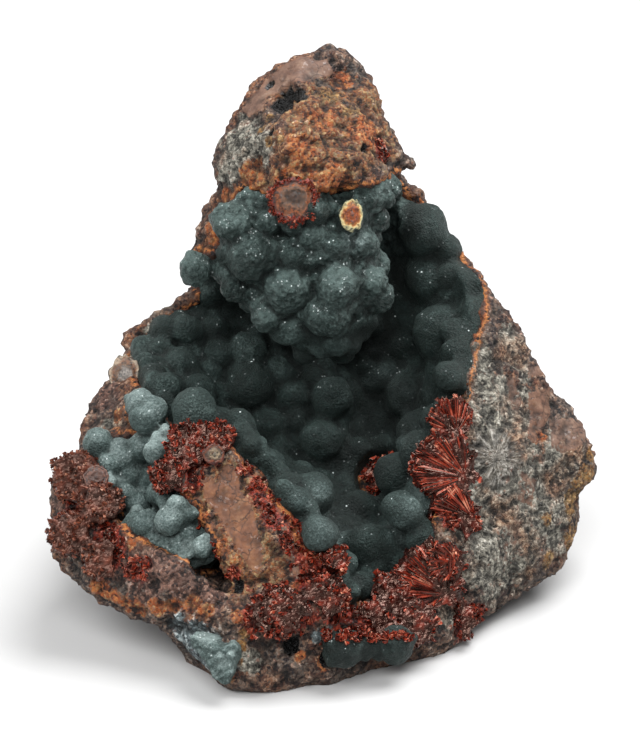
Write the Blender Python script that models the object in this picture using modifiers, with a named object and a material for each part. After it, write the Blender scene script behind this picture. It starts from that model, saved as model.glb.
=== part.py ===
"""A hand specimen of rockbridgeite: a pyramid of brown rock broken open on a hollow.

The hollow is lined with a crust of round black-green balls, and a cluster of them hangs under the
rock's crown. Where the crust is broken through, its inside shows as fans of red-brown crystals.

Places are written as a viewer in front of the specimen sees them: millimetres to the right, up and
near, from the middle of the specimen. The viewer stands half a metre away and looks down on it.
"""

import math
import random

import bmesh
import bpy
from mathutils import Matrix, Vector, noise
from mathutils.bvhtree import BVHTree

MM = 0.001

# How the specimen is looked at
LOOK_DOWN = math.radians(25)
VIEWER_AWAY = 500.0
MIDDLE = Vector((-0.55, 4.6, 24.9))

# Sizes in millimetres, and how many triangles the pieces are thinned out to
ROCK_GRAIN = 0.9
ROCK_FACES = 3900
ROUGH_HEIGHT = 1.1
ROUGH_SPAN = 7.0
CRUST_GRAIN = 0.55
NEAR_GRAIN = 0.63
CRUST_THICK = 2.2
CLEARANCE = 0.9
FAN_CLEARANCE = 1.0
FAN_GAP = 0.6
FAN_GRAIN = 0.28
CRUST_LOWEST = 2.6
BALL_LOWEST = 0.8

# The balls that fill in where no single one is placed
WALL_BALL = (1.3, 2.6)
SMALL_BALL = (0.7, 1.2)
WALL_BALL_SPACING = 2.6
BALL_OUT = 0.45
BALL_LIFT = 1.2

# Which faces of the rock the crust covers: how far outside the region a face may lie, how far ahead of
# it the region must still be, and how far inside the region the middle of a ball stays
RIM = 2.0
INWARD = 2.5
BALLS_OFF_RIM = 0.6
BARE_MARGIN = 0.9
FACES_VIEWER = 0.15

# The lumps that the rock is built from. Each is the convex shape around its corners
UPPER_LEFT = [
    (-22.4, 2.9, -5), (-24.4, 0.0, -2), (-25.3, -1.7, 0), (-27.2, -5.2, 2), (-28.2, -8.1, 3),
    (-19.0, -3.0, 6), (-21.0, 1.5, -2), (-16.0, -9.0, 8), (-26.0, -12.0, 8), (-15.5, 8.4, -9),
    (-22.0, 2.0, -10), (-15.0, 7.4, -15), (-26.0, -8.0, -6), (-12.0, -8.0, -20), (-18.0, -12.0, -16),
]
LOWER_LEFT = [
    (-31.0, -11.0, 4), (-32.0, -15.0, 6), (-31.6, -18.0, 8), (-29.7, -21.9, 9), (-27.6, -25.5, 11),
    (-24.2, -27.8, 13), (-21.9, -28.8, 14), (-17.8, -29.7, 16), (-26.0, -9.5, 9), (-23.5, -14.0, 13),
    (-22.0, -22.0, 16), (-10.0, -27.0, 18), (-27.0, -12.0, -3), (-26.0, -20.0, -4), (-12.0, -20.0, -12),
    (-16.0, -12.0, -16),
]
FRONT = [
    (-17.8, -30.0, 15), (-13.8, -34.4, 18), (-10.9, -36.2, 20), (-6.7, -35.8, 20), (1.2, -33.6, 17),
    (9.2, -31.6, 14), (15.0, -30.8, 11), (-18.0, -27.0, 17), (-9.0, -26.5, 19), (2.0, -29.0, 18),
    (10.0, -28.5, 14), (14.0, -28.0, 12), (0.0, -22.0, -18), (12.0, -22.0, -14), (-10.0, -22.0, -14),
]
RIGHT = [
    (14.6, -32.4, 10), (20.7, -27.8, 5), (24.5, -25.6, 1), (27.8, -22.6, -1), (29.6, -19.0, -2),
    (32.2, -11.5, -3), (31.8, -9.0, -3), (29.3, -5.8, -3), (25.3, 0.0, -2), (20.7, 8.0, -2),
    (17.3, 12.9, -3), (15.2, 1.5, 5), (15.5, -9.0, 9), (15.0, -22.0, 11), (11.0, -28.0, 13),
    (18.0, 8.0, -13), (28.0, -8.0, -13), (27.0, -16.0, -12), (14.0, -2.0, -20), (13.0, -16.0, -20),
]
HEART = [
    (-18.0, -4.0, 4), (-24.0, -14.0, 7), (-20.0, -22.0, 12), (-12.0, -28.0, 16), (8.0, -29.0, 13),
    (18.0, -25.0, 6), (24.0, -12.0, -2), (18.0, 2.0, -2), (0.0, 2.0, -16), (14.0, -14.0, -17),
    (-12.0, -14.0, -16), (0.0, -22.0, -16), (-16.0, 0.0, -8), (-23.0, -8.0, -6), (-20.0, -16.0, -8),
]
BACK = [
    (-15.3, 8.0, -10), (-19.5, 4.5, -9), (-13.0, 12.0, -15), (0.0, 12.0, -19), (12.0, 12.0, -19),
    (0.0, 2.0, -21), (13.0, 4.0, -21), (-20.0, -4.0, -12),
    (-12.0, -14.0, -16), (14.0, -14.0, -18), (20.0, 6.0, -8), (0.0, -20.0, -16), (-18.0, -6.0, -12),
    (22.0, -8.0, -14), (-21.8, 3.4, -7),
]
SHOULDER = [
    (-11.5, 24.0, -10), (-14.6, 9.5, -9), (9.2, 23.5, -9), (13.2, 19.0, -7), (17.3, 12.9, -6),
    (0.0, 12.0, -20), (-10.0, 19.5, -14), (8.5, 22.0, -17), (14.0, 8.0, -21), (-13.5, 7.0, -15),
    (20.0, 6.8, -6), (11.5, 15.0, -19),
]
CROWN = [
    (-6.3, 34.2, 4), (-2.3, 37.0, 5), (2.0, 38.1, 3), (3.6, 36.0, 3), (6.5, 32.0, 5),
    (8.5, 27.0, 5), (9.3, 23.8, 5), (7.5, 21.5, 9), (3.5, 19.0, 12), (-2.3, 17.6, 13),
    (-9.0, 20.5, 10), (-8.6, 31.3, 4), (-10.9, 28.5, 5), (-11.8, 25.3, 6), (-12.2, 21.5, 6),
    (-3.0, 27.0, 14), (4.0, 24.0, 12), (-8.5, 28.5, -7), (0.0, 34.0, -5), (6.0, 30.0, -9),
    (8.6, 23.0, -14), (-10.5, 21.0, -11),
]
EAR = [
    (-12.8, 20.5, 5), (-9.5, 20.0, 9), (-11.6, 13.5, 7), (-13.4, 10.2, 5), (-15.2, 11.6, 3),
    (-13.9, 17.0, 3), (-11.0, 19.0, -4), (-12.8, 13.0, -3),
]
NUB = [(7.0, 25.6, 6), (11.1, 24.6, 4), (10.9, 23.2, 4), (7.0, 21.8, 7), (8.0, 24.0, -1)]
HANGING_CORE = [
    (-10.5, 19.5, 7), (-10.2, 12.5, 6), (-4.0, 7.0, 5), (1.5, 3.5, 4), (3.0, 6.0, 6), (4.5, 13.0, 6),
    (4.5, 19.5, 7), (-9.5, 19.0, -2), (-8.5, 13.0, -1), (2.0, 5.0, 0), (3.5, 18.0, -2),
]
PILLAR = [
    (-17.6, -6.5, 12), (-11.5, -5.6, 12), (-9.5, -9.0, 16), (-17.0, -11.5, 15), (-14.0, -14.5, 17),
    (-6.5, -13.0, 16), (-8.0, -29.0, 21), (1.0, -28.0, 20), (1.2, -22.5, 17), (-9.0, -24.0, 20),
    (-15.5, -9.0, 6), (-10.0, -9.0, 7), (-3.0, -20.0, 9), (-6.0, -29.0, 10),
]
LEDGE = [
    (-27.5, -17.0, 12), (-21.0, -19.5, 16), (-14.0, -23.0, 19), (-9.0, -28.0, 21), (-10.0, -30.5, 20),
    (-18.5, -29.0, 18), (-26.5, -25.5, 13), (-28.5, -22.0, 10), (-20.0, -22.0, 5), (-10.0, -29.0, 10),
]

# The base, on which the specimen stands
BASE = [
    (-11.0, -24.5), (-5.0, -25.3), (1.0, -23.6), (8.0, -18.1), (13.0, -14.1), (17.5, -4.4),
    (16.5, 8.6), (-12.5, 10.6), (-17.5, -5.4), (-14.0, -19.1),
]
BASE_SINK = 2.0
OFF_GROUND = 0.6

# The hollow and the pocket to the left of the pillar: the mouth as it is seen, each place with how near
# the rim is there, and the inner end
HOLLOW_MOUTH = [
    (-12.4, 19.0, -8), (8.0, 22.0, -7), (12.8, 18.4, -6), (17.0, 12.4, -5), (18.8, 8.8, -4),
    (17.0, 3.0, 2), (15.2, -5.8, 7), (14.2, -12.7, 9), (12.4, -20.1, 10), (8.0, -25.0, 12),
    (3.0, -26.8, 14), (-10.0, -15.0, 8), (-17.6, -5.5, 5), (-20.4, -1.7, 0), (-21.8, 2.3, -6),
    (-18.6, 5.8, -8), (-15.0, 8.8, -9),
]
HOLLOW_END = [
    (-8.0, 14.0, -12), (8.0, 16.0, -13), (11.0, 10.0, -12.5), (10.0, -8.0, -12), (9.0, -15.0, -8),
    (1.5, -14.5, -8), (-6.0, -9.0, -9), (-14.5, -1.0, -9), (-14.0, 4.5, -10), (6.0, -21.0, 2),
]
POCKET_MOUTH = [
    (-25.0, -8.5, 6), (-13.0, -6.5, 10), (-8.5, -25.0, 16), (-10.5, -26.5, 17), (-18.0, -20.0, 14),
    (-24.0, -16.5, 11), (-27.0, -10.0, 6),
]
POCKET_END = [(-21.5, -10.5, 5), (-13.0, -10.5, 5), (-9.5, -22.5, 6), (-15.5, -18.5, 6)]
MOUTH_REACH = 35.0

# Two more places where crust grows, each a region of the rock's face
UNDERSIDE = [
    (0.5, -31.2, 30), (15.5, -30.4, 30), (15.5, -34.0, 30), (0.5, -35.0, 30), (0.5, -31.2, 4),
    (15.5, -30.4, 4), (15.5, -34.0, 4), (0.5, -35.0, 4),
]
FOOT = [
    (-18.0, -28.4, 30), (-11.6, -28.4, 30), (-9.2, -33.0, 30), (-9.8, -36.5, 30), (-13.6, -35.5, 30),
    (-18.0, -28.4, 4), (-11.6, -28.4, 4), (-9.2, -33.0, 4), (-9.8, -36.5, 4), (-13.6, -35.5, 4),
]
UNDERSIDE_BALLS = [(8.7, -31.6, 2.1), (13.0, -30.8, 1.9), (2.8, -32.2, 2.0), (5.6, -31.6, 1.3)]

# Fans of red crystals: right and up of the point they grow from, the way they open in the picture in
# degrees from the right, the length of the crystals, and half the number of ridges
RIGHT_FANS = [(16.8, -12.4, 155, 6.4, 9), (15.8, -7.6, 110, 4.4, 7), (17.6, -17.0, 180, 5.2, 8)]
SCALLOP_FANS = [(14.6, -26.0, 135, 6.8, 10), (15.8, -22.0, 170, 3.6, 7)]
INNER_FANS = [(9.8, -12.8, 165, 3.8, 7), (8.6, -9.8, 110, 3.0, 6)]
FLOOR_FANS = [
    (7.6, -28.4, 200, 4.2, 8), (9.0, -27.6, 120, 4.2, 7), (12.6, -29.6, 165, 5.0, 9),
    (17.0, -29.4, 160, 4.8, 9), (20.0, -26.6, 130, 3.8, 7),
]
PILLAR_HEAD_FANS = [(-14.2, -10.8, 110, 4.4, 9), (-12.4, -9.4, 60, 3.2, 8), (-15.8, -11.6, 200, 3.2, 8)]
PILLAR_FOOT_FANS = [(-4.0, -25.4, 250, 5.2, 9), (-0.6, -24.6, 300, 4.2, 8), (0.4, -21.4, 330, 2.6, 7)]
LEFT_FANS = [
    (-26.8, -14.2, 120, 4.8, 9), (-25.6, -17.2, 60, 4.0, 8), (-26.8, -18.4, 200, 4.2, 9),
    (-25.0, -20.2, 280, 4.0, 8),
]
FAN_SINK = 2.0
FAN_RIDGE = 2.0
FAN_GROOVE = 1.1
FAN_ROUND = 0.6
FAN_AHEAD = 0.45
FAN_ROOT = -0.4

# Crust balls that stand out: right, up and radius. Each grows where the viewer's line meets the rock
HANGING_BALLS = [
    (2.0, 9.6, 2.6), (0.9, 6.2, 2.4), (-3.7, 9.4, 2.5), (-8.2, 13.2, 2.7), (-6.2, 13.4, 1.9),
    (-9.8, 9.6, 1.7), (-8.0, 8.9, 1.4), (-14.4, 11.6, 1.9), (4.5, 14.4, 2.1), (1.8, 13.9, 1.8),
    (3.7, 17.6, 1.7), (-3.0, 13.2, 1.9), (-1.2, 15.5, 2.0), (0.2, 13.2, 1.3), (-6.0, 17.1, 1.6),
    (-10.3, 17.1, 2.3), (-3.0, 17.3, 1.7), (-0.6, 18.4, 1.7), (-3.6, 5.1, 2.3), (-6.2, 6.0, 1.7),
    (-1.6, 2.3, 1.7), (0.2, 2.6, 1.5), (1.8, 3.3, 1.7), (0.5, 0.6, 1.4),
]
BACK_WALL_BALLS = [
    (-8.4, 2.2, 2.4), (-8.0, -1.7, 2.8), (-11.6, 1.9, 1.8), (-16.1, 0.6, 2.1), (-17.8, -1.7, 1.7),
    (-13.8, -2.3, 1.9), (-12.1, 4.6, 1.7), (-15.5, 4.6, 1.8), (-18.4, 2.3, 1.4), (1.3, -3.3, 2.6),
    (0.2, -8.1, 2.8), (-3.2, -3.3, 1.9), (-3.2, -5.5, 1.8), (-6.0, -6.3, 2.3), (-9.1, -6.3, 1.8),
    (-4.8, -0.1, 1.8), (-5.0, -8.7, 1.5), (-0.7, -1.0, 1.5), (-14.4, -4.9, 2.9), (6.1, 10.2, 2.1),
    (6.6, 8.5, 1.9),
]
RIGHT_WALL_BALLS = [
    (11.8, 16.1, 3.2), (13.0, 10.5, 3.3), (14.5, 4.1, 3.8), (7.5, -0.6, 1.8), (10.5, -2.5, 2.9),
    (11.7, -7.2, 2.8), (10.2, -18.3, 2.5), (4.5, -16.0, 2.3), (3.8, -20.6, 2.3), (-0.8, -14.2, 2.3),
    (0.0, -18.8, 2.1), (2.1, -18.1, 1.3), (2.8, -22.3, 1.7), (-4.5, -14.3, 1.7), (-7.4, -11.3, 1.5),
    (7.0, -12.0, 2.4),
]
POCKET_BALLS = [
    (-19.8, -5.2, 2.2), (-20.9, -3.9, 1.7), (-25.6, -8.5, 1.7), (-22.8, -9.9, 2.1), (-20.5, -9.0, 1.7),
    (-22.1, -12.3, 1.7), (-19.7, -12.7, 1.9), (-18.3, -14.3, 1.7), (-17.2, -17.1, 1.8), (-20.1, -17.6, 1.6),
    (-22.6, -15.1, 1.8), (-20.9, -15.5, 1.5), (-17.4, -5.3, 0.9),
]


def seen(right, up, near):
    """The point of the row frame, in metres, that the viewer sees there."""
    spread = (VIEWER_AWAY - near) / VIEWER_AWAY
    right, up = right * spread, up * spread
    back = up * math.sin(LOOK_DOWN) - near * math.cos(LOOK_DOWN)
    high = up * math.cos(LOOK_DOWN) + near * math.sin(LOOK_DOWN)
    return (MIDDLE + Vector((right, back, high))) * MM


def clear_scene():
    for old in list(bpy.data.objects):
        bpy.data.objects.remove(old)


def new_collection(name):
    collection = bpy.data.collections.new(name)
    bpy.context.scene.collection.children.link(collection)
    return collection


def material(name, colour, roughness, metallic=0.0):
    made = bpy.data.materials.new(name)
    made.use_nodes = True
    shader = made.node_tree.nodes["Principled BSDF"]
    shader.inputs["Base Color"].default_value = (*colour, 1.0)
    shader.inputs["Roughness"].default_value = roughness
    shader.inputs["Metallic"].default_value = metallic
    made.diffuse_color = (*colour, 1.0)
    return made


def object_from(name, mesh_builder, collection, helper=False):
    """A mesh object named name, from a bmesh that is used up."""
    mesh = bpy.data.meshes.new(name)
    mesh_builder.to_mesh(mesh)
    mesh_builder.free()
    made = bpy.data.objects.new(name, mesh)
    collection.objects.link(made)
    made.hide_render = helper
    if helper:
        made.display_type = "WIRE"
    return made


def lump(name, points, collection):
    """A convex lump of rock or of hollow, with its corners at the points, in metres."""
    shape = bmesh.new()
    for point in points:
        shape.verts.new(point)
    made = bmesh.ops.convex_hull(shape, input=shape.verts)
    spare = {v for v in made["geom_interior"] + made["geom_unused"] if isinstance(v, bmesh.types.BMVert)}
    bmesh.ops.delete(shape, geom=list(spare), context="VERTS")
    bmesh.ops.recalc_face_normals(shape, faces=shape.faces)
    return object_from(name, shape, collection, helper=True)


def joined(name, objects, collection):
    """One helper object that holds the shapes of several."""
    shape = bmesh.new()
    for piece in objects:
        shape.from_mesh(piece.data)
    return object_from(name, shape, collection, helper=True)


def settle(piece):
    """Puts the result of the modifiers into the mesh."""
    graph = bpy.context.evaluated_depsgraph_get()
    result = bpy.data.meshes.new_from_object(piece.evaluated_get(graph))
    piece.modifiers.clear()
    piece.data = result


def remesh(piece, grain):
    step = piece.modifiers.new("Remesh", "REMESH")
    step.mode = "VOXEL"
    step.voxel_size = grain * MM
    settle(piece)


def cut(piece, cutter):
    step = piece.modifiers.new("Cut", "BOOLEAN")
    step.operation = "DIFFERENCE"
    step.object = cutter
    settle(piece)


def thin_out(piece, faces):
    """Lowers the triangle count to about faces."""
    step = piece.modifiers.new("Thin", "DECIMATE")
    step.ratio = min(1.0, faces / (2 * len(piece.data.vertices)))
    step.use_collapse_triangulate = True
    settle(piece)


def swollen(name, pieces, by, grain, collection):
    """A helper body that reaches that many millimetres further than the pieces."""
    copy = joined(name, pieces, collection)
    step = copy.modifiers.new("Swell", "DISPLACE")
    step.strength = by * MM
    step.mid_level = 0.0
    settle(copy)
    remesh(copy, grain)
    return copy


def keep_largest(piece):
    """Removes the crumbs that a cut leaves loose."""
    shape = bmesh.new()
    shape.from_mesh(piece.data)
    shape.verts.ensure_lookup_table()
    unseen = set(shape.verts)
    islands = []
    while unseen:
        front = [unseen.pop()]
        island = set(front)
        while front:
            for edge in front.pop().link_edges:
                for vert in edge.verts:
                    if vert in unseen:
                        unseen.remove(vert)
                        island.add(vert)
                        front.append(vert)
        islands.append(island)
    islands.sort(key=len)
    for crumb in islands[:-1]:
        bmesh.ops.delete(shape, geom=list(crumb), context="VERTS")
    shape.to_mesh(piece.data)
    shape.free()


def planes_of(region):
    """The faces of a convex lump, each as a point and an outward normal."""
    mesh = region.data
    return [(face.center.copy(), face.normal.copy()) for face in mesh.polygons]


def inside(point, planes, margin):
    return all((point - centre).dot(normal) <= margin * MM for centre, normal in planes)


def roughen(piece, height, span):
    """Moves the surface in and out by noise, so that it looks like broken rock."""
    shift = Vector((3.0, 6.9, 2.1))
    moves = []
    for vert in piece.data.vertices:
        at = vert.co / (span * MM) + shift
        broad = noise.hetero_terrain(at, 0.9, 2.1, 4, 0.6) - 0.9
        near, next_near = noise.voronoi(at * 1.6)[0][:2]
        moves.append(vert.normal * (0.7 * broad - 0.6 * (next_near - near) + 0.1) * height * MM)
    for vert, move in zip(piece.data.vertices, moves):
        vert.co += move


def add_ball(shape, centre, radius):
    """Adds a ball to the bmesh; centre and radius are in metres."""
    bmesh.ops.create_icosphere(shape, subdivisions=3, radius=radius, matrix=Matrix.Translation(centre))


def placed_lump(name, points, collection, more=()):
    return lump(name, [seen(*point) for point in points] + list(more), collection)


def cavity(name, mouth, end, collection):
    """A hollow that keeps the shape of its mouth from in front of the rock to the rim, then narrows."""
    ahead = [(right, up, MOUTH_REACH) for right, up, near in mouth]
    return placed_lump(name, ahead + mouth + end, collection)


def ground(collection):
    """A wide block that fills the space below what the specimen stands on."""
    shape = bmesh.new()
    bmesh.ops.create_cube(shape, size=0.2, matrix=Matrix.Translation((0, 0, -0.1)))
    return object_from("ground", shape, collection, helper=True)


def build_rock(parts, helpers, cavities):
    base = [Vector((x, y, -BASE_SINK)) * MM for x, y in BASE]
    lumps = [placed_lump("front", FRONT, helpers, base)] + [
        placed_lump(name, points, helpers)
        for name, points in (
            ("upper_left", UPPER_LEFT),
            ("lower_left", LOWER_LEFT),
            ("right", RIGHT),
            ("heart", HEART),
            ("back", BACK),
            ("shoulder", SHOULDER),
            ("crown", CROWN),
            ("nub", NUB),
        )
    ]
    rock = joined("matrix", lumps, helpers)
    remesh(rock, ROCK_GRAIN)
    for space in cavities:
        cut(rock, space)
    added = [
        placed_lump(name, points, helpers)
        for name, points in (
            ("hanging_core", HANGING_CORE),
            ("ear", EAR),
            ("pillar", PILLAR),
            ("ledge", LEDGE),
        )
    ]
    rock.data = joined("whole", [rock] + added, helpers).data
    remesh(rock, ROCK_GRAIN)
    roughen(rock, ROUGH_HEIGHT, ROUGH_SPAN)
    thin_out(rock, ROCK_FACES)
    cut(rock, ground(helpers))
    keep_largest(rock)
    make_part(rock, parts, helpers)
    return rock


def make_part(piece, parts, helpers):
    """Moves a piece from the helpers to the parts."""
    helpers.objects.unlink(piece)
    parts.objects.link(piece)
    piece.hide_render = False
    piece.display_type = "TEXTURED"


def viewed(tree, right, up):
    """Where the viewer's line through that place of the picture meets the rock, and the line."""
    eye = seen(0, 0, VIEWER_AWAY * 0.9999)
    line = (seen(right, up, 0) - eye).normalized()
    hit = tree.ray_cast(eye, line)[0]
    return hit, line


def wall_lining(rock, region, bare, helpers):
    """The faces of the rock in the region, as a sheet CRUST_THICK thick that stands on them."""
    sheet = bmesh.new()
    sheet.from_mesh(rock.data)
    walls = planes_of(region)
    kept_bare = [(planes_of(piece), facing) for piece, facing in bare]
    toward = (Vector(seen(0, 0, 1)) - Vector(seen(0, 0, 0))).normalized()
    off = []
    for face in sheet.faces:
        middle = face.calc_center_median()
        ahead = middle + face.normal * INWARD * MM
        lines = middle.z > CRUST_LOWEST * MM and inside(middle, walls, RIM) and inside(ahead, walls, 0.0)
        facing = face.normal.dot(toward)
        is_bare = any(facing > least and inside(middle, planes, BARE_MARGIN) for planes, least in kept_bare)
        if is_bare or not lines:
            off.append(face)
    bmesh.ops.delete(sheet, geom=off, context="FACES")
    spots = [
        (face.calc_center_median(), face.normal.copy(), face.calc_area())
        for face in sheet.faces
        if inside(face.calc_center_median(), walls, -BALLS_OFF_RIM)
    ]
    lining = object_from("lining", sheet, helpers, helper=True)
    step = lining.modifiers.new("Thickness", "SOLIDIFY")
    step.thickness = CRUST_THICK * MM
    step.offset = 1.0
    settle(lining)
    return lining, spots


def scatter(spots, taken, spacing, rng):
    """Points on the lining that keep their distance from each other and from the balls that stand out."""
    chosen = []
    order = [spot for spot in spots for _ in range(3)]
    rng.shuffle(order)
    for centre, normal, area in order:
        across = math.sqrt(area) * 0.5
        point = centre + normal * BALL_LIFT * MM + Vector([rng.uniform(-across, across) for _ in range(3)])
        if all((point - other).length > spacing * MM for other in chosen) and all(
            (point - other).length > radius * 0.9 for other, radius in taken
        ):
            chosen.append(point)
    return chosen


def surface_tree(piece):
    return BVHTree.FromPolygons(
        [vert.co for vert in piece.data.vertices], [face.vertices[:] for face in piece.data.polygons]
    )


def fan(name, rock_tree, lift, right, up, heading, length, ribs, rng, helpers):
    """A round fan of crystals that lies on the rock, with its ridges running from one side."""
    hit, line = viewed(rock_tree, right, up)
    way = math.radians(heading)
    ahead = viewed(rock_tree, right + math.cos(way) * length, up + math.sin(way) * length)[0]
    face = (rock_tree.ray_cast(hit - line * MM, line)[1] * 0.4 - line).normalized()
    across = Vector(seen(math.cos(way), math.sin(way), 0)) - Vector(seen(0, 0, 0))
    if ahead is not None and (ahead - hit).length < 1.6 * length * MM:
        across = ahead - hit
    out = (across - face * across.dot(face)).normalized()
    turn = Matrix((out, face.cross(out), face)).transposed().to_4x4()
    shape = bmesh.new()
    bmesh.ops.create_circle(shape, cap_ends=True, segments=ribs * 2, radius=length * MM * FAN_ROUND)
    top = shape.faces[:]
    extruded = bmesh.ops.extrude_face_region(shape, geom=top)
    upper = [v for v in extruded["geom"] if isinstance(v, bmesh.types.BMVert)]
    cap = [f for f in extruded["geom"] if isinstance(f, bmesh.types.BMFace)]
    bmesh.ops.translate(shape, verts=upper, vec=(0, 0, (FAN_SINK + FAN_GROOVE) * MM))
    for count, vert in enumerate(upper):
        if count % 2:
            vert.co.z += (FAN_RIDGE - FAN_GROOVE) * MM
            vert.co.xy *= 1.12 * rng.uniform(0.9, 1.15)
        else:
            vert.co.xy *= 0.9
    middle = bmesh.ops.poke(shape, faces=cap)["verts"][0]
    middle.co.x = FAN_ROOT * length * MM
    bmesh.ops.translate(shape, verts=shape.verts, vec=(FAN_AHEAD * length * MM, 0, (lift - FAN_SINK) * MM))
    bmesh.ops.transform(shape, matrix=Matrix.Translation(hit) @ turn, verts=shape.verts)
    bmesh.ops.recalc_face_normals(shape, faces=shape.faces)
    return object_from(name, shape, helpers, helper=True)


def build_fans(name, places, lift, faces, rock_tree, keep_off, rng, parts, helpers):
    """Fans that have grown together, as one body that clears the rock."""
    single = [fan(name + "_fan", rock_tree, lift, *place, rng, helpers) for place in places]
    made = joined(name, single, helpers)
    remesh(made, FAN_GRAIN)
    for cutter in keep_off:
        cut(made, cutter)
    remesh(made, FAN_GRAIN)
    keep_largest(made)
    thin_out(made, faces)
    make_part(made, parts, helpers)
    return made


def build_crust(name, rock, region, bare, places, ball_sizes, faces, keep_off, parts, helpers):
    lining, spots = wall_lining(rock, region, bare, helpers)
    tree = surface_tree(rock)
    rng = random.Random(4)
    balls = []
    for right, up, radius in places:
        hit, line = viewed(tree, right, up)
        if hit is not None:
            balls.append((hit - line * (BALL_OUT * radius + BALL_LIFT) * MM, radius * MM))
    for point in scatter(spots, balls, WALL_BALL_SPACING, rng):
        balls.append((point, rng.uniform(*ball_sizes) * MM))
    shape = bmesh.new()
    for centre, radius in balls:
        if centre.z - radius > BALL_LOWEST * MM:
            add_ball(shape, centre, radius)
    heap = object_from("balls", shape, helpers, helper=True)
    crust = joined(name, [lining, heap], helpers)
    remesh(crust, CRUST_GRAIN)
    around = joined("around_" + name, keep_off, helpers)
    remesh(around, NEAR_GRAIN)
    cut(crust, around)
    remesh(crust, CRUST_GRAIN)
    keep_largest(crust)
    thin_out(crust, faces)
    make_part(crust, parts, helpers)
    return crust


def main():
    clear_scene()
    parts = new_collection("rockbridgeite")
    helpers = new_collection("helpers")
    hollow = cavity("hollow", HOLLOW_MOUTH, HOLLOW_END, helpers)
    pocket = cavity("pocket", POCKET_MOUTH, POCKET_END, helpers)
    underside = placed_lump("underside", UNDERSIDE, helpers)
    foot = placed_lump("foot", FOOT, helpers)
    rock = build_rock(parts, helpers, [hollow, pocket])
    by_rock = swollen("by_rock", [rock], FAN_GAP, ROCK_GRAIN, helpers)
    near_rock = swollen("near_rock", [rock], CLEARANCE, ROCK_GRAIN, helpers)
    tree = surface_tree(rock)
    rng = random.Random(7)
    fans = [
        build_fans(name, places, lift, faces, tree, [by_rock], rng, parts, helpers)
        for name, places, lift, faces in (
            ("right_fans", RIGHT_FANS, 0.4, 300),
            ("inner_fans", INNER_FANS, 1.8, 120),
            ("floor_fans", FLOOR_FANS + SCALLOP_FANS, 0.4, 560),
            ("pillar_head_fans", PILLAR_HEAD_FANS, 0.2, 240),
            ("pillar_foot_fans", PILLAR_FOOT_FANS, 0.2, 260),
            ("left_fans", LEFT_FANS, 0.2, 340),
        )
    ]
    bare = [(bpy.data.objects[name], FACES_VIEWER) for name in ("crown", "pillar", "ledge", "nub")]
    bare.append((bpy.data.objects["ear"], -2.0))
    near_fans = swollen("near_fans", fans, FAN_CLEARANCE, NEAR_GRAIN, helpers)
    keep_off = [near_rock, near_fans]
    crusts = []
    for name, region, places, ball_sizes, faces in (
        ("hollow_crust", hollow, HANGING_BALLS + BACK_WALL_BALLS + RIGHT_WALL_BALLS, WALL_BALL, 3200),
        ("pocket_crust", pocket, POCKET_BALLS, WALL_BALL, 560),
        ("underside_crust", underside, UNDERSIDE_BALLS, SMALL_BALL, 240),
        ("foot_crust", foot, [], SMALL_BALL, 160),
    ):
        crust = build_crust(name, rock, region, bare, places, ball_sizes, faces, keep_off, parts, helpers)
        keep_off.append(swollen("near_" + name, [crust], CLEARANCE, NEAR_GRAIN, helpers))
        crusts.append(crust)
    paint([rock], (0.16, 0.09, 0.06), 0.8)
    paint(fans, (0.16, 0.02, 0.015), 0.35)
    paint(crusts, (0.035, 0.05, 0.048), 0.5)


def paint(pieces, colour, roughness):
    for piece in pieces:
        piece.data.materials.clear()
        piece.data.materials.append(material(piece.name, colour, roughness))


main()
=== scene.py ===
import math
import random

import bmesh
import bpy
import numpy as np
from mathutils import Matrix, Vector, noise
from mathutils.bvhtree import BVHTree


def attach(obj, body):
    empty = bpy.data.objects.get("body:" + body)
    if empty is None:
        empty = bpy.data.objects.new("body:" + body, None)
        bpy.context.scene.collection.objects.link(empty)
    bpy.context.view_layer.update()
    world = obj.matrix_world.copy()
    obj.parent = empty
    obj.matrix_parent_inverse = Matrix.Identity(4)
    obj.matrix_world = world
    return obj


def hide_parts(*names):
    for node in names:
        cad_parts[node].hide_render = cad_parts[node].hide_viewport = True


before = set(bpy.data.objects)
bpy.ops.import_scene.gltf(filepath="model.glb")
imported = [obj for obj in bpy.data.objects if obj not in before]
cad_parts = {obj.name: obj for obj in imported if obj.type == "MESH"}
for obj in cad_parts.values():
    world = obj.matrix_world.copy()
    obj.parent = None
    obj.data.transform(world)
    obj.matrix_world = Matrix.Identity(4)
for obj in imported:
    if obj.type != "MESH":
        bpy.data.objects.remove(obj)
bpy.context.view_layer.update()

mm = 0.001
print("frame loaded,", len(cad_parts), "nodes")

# Places are given as the photograph shows them: pixels of its 640 x 740 frame, or millimetres to the right
# of and above the middle of the picture.
photoView = {
    "middle": Vector((-0.55, 4.6, 24.9)) * mm,  # the point the camera looks at
    "lookDown": math.radians(25),
    "away": 500,  # mm from the camera to that point
    "lens": 211.5,
    "pixel": 0.115,  # mm on the object
}


def seen(right, up, near=0.0):
    widen = (photoView["away"] - near) / photoView["away"]
    right, up = right * widen, up * widen
    down = photoView["lookDown"]
    back = up * math.sin(down) - near * math.cos(down)
    high = up * math.cos(down) + near * math.sin(down)
    return photoView["middle"] + Vector((right, back, high)) * mm


def pixel(across, down):
    return (across - 320) * photoView["pixel"], (370 - down) * photoView["pixel"]


def onto(tree, right, up):  # where the viewer's line through that place meets a surface
    eye = seen(0, 0, photoView["away"] * 0.9999)
    line = (seen(right, up) - eye).normalized()
    hit, normal = tree.ray_cast(eye, line)[:2]
    return hit, normal, line


# Meshes

def nodeCopy(node):  # a CAD node's triangles, merged so that they share corners
    bm = bmesh.new()
    bm.from_mesh(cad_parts[node].data)
    bmesh.ops.remove_doubles(bm, verts=bm.verts, dist=1e-6)
    return bm


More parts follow.
